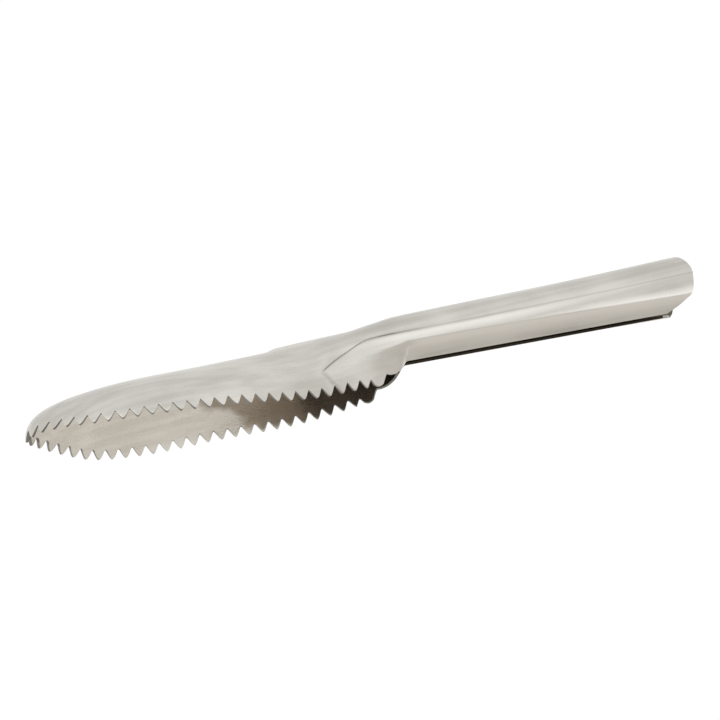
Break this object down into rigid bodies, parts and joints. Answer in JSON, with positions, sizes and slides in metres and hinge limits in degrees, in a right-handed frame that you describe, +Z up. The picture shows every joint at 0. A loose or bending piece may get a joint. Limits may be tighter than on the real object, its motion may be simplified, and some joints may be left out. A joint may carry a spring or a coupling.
{
  "type": "serrated hand scraper",
  "caption": "Hand scraper pressed from one steel sheet: an inverted trough with saw teeth round its rim, and a hollow rolled handle with a slot along its underside.",
  "frame": {"origin": "centre of the footprint, on the surface that the lowest teeth and the handle's heel rest on", "axes": "+X from the nose towards the butt of the handle, +Z up through the crown with the teeth down, Y across, with Y = 0 the plane of symmetry"},
  "size_m": [0.2246, 0.0392, 0.024],
  "materials": {
    "satin_steel": "satin, drawn along the length, with bright burnished folds"
  },
  "bodies": {
    "root": {"pressed_scraper": "satin_steel"}
  },
  "joints": []
}
